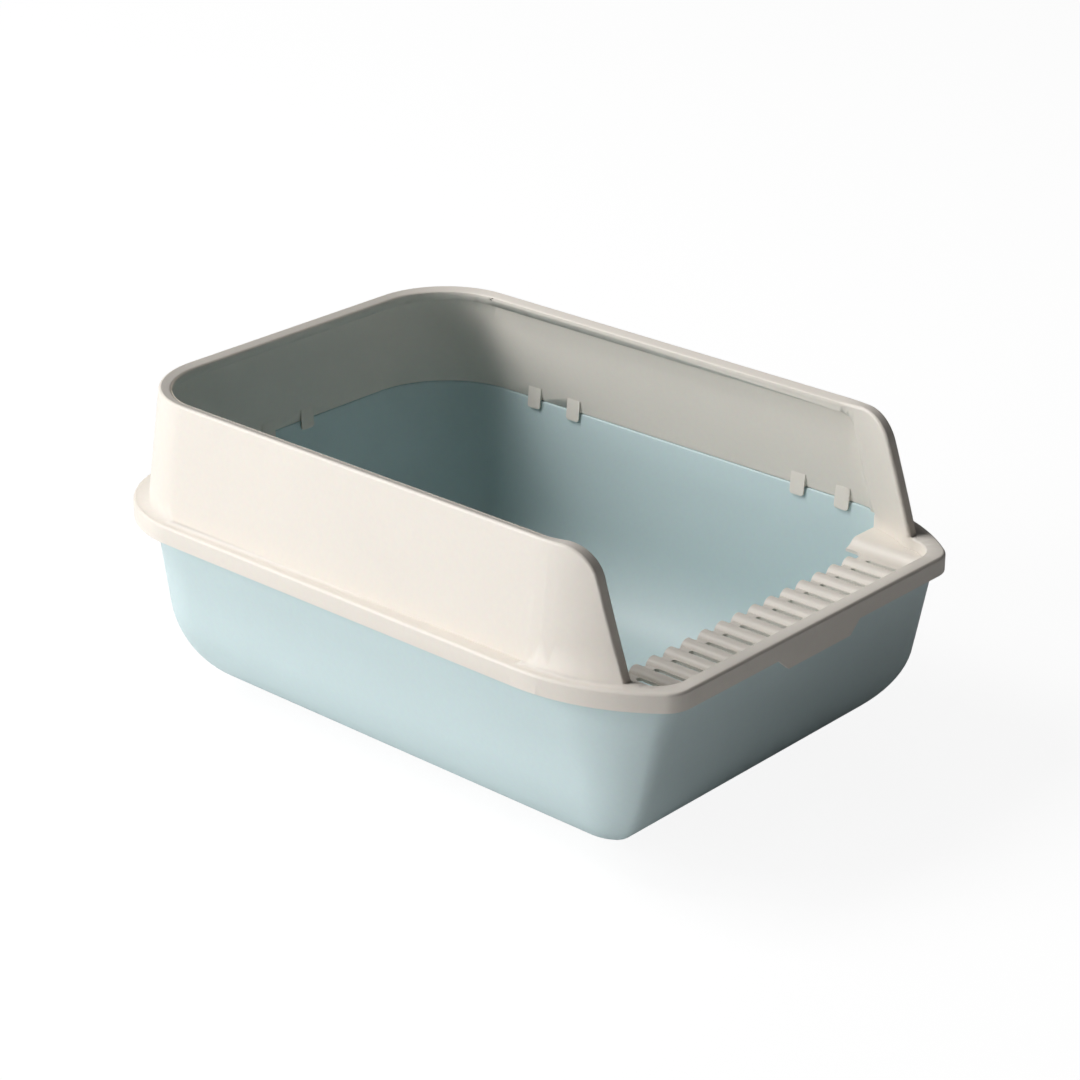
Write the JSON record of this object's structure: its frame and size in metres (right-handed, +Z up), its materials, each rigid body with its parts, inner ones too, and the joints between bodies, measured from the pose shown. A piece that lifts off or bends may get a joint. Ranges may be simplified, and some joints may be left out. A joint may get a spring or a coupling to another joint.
{
  "type": "high-sided litter box",
  "caption": "Open litter box: a deep pan under a lift-off frame whose shield wall stands on three sides, with a slotted step across the low entrance.",
  "frame": {"origin": "centre of the footprint's bounding box, on the floor", "axes": "+Z up, +Y from the entrance to the back wall, +X to the right seen from the entrance"},
  "size_m": [0.4, 0.562, 0.255],
  "materials": {
    "pan_plastic": "satin moulded polypropylene, pale grey blue",
    "frame_plastic": "satin moulded polypropylene, warm white"
  },
  "bodies": {
    "pan": {"litter_pan": "pan_plastic"},
    "frame": {"shield_frame": "frame_plastic", "step_grille": "frame_plastic"}
  },
  "joints": [
    {"name": "frame_lift", "type": "slide", "parent": "pan", "child": "frame", "axis": [0, 0, 1], "range_m": [0, 0.1]}
  ]
}
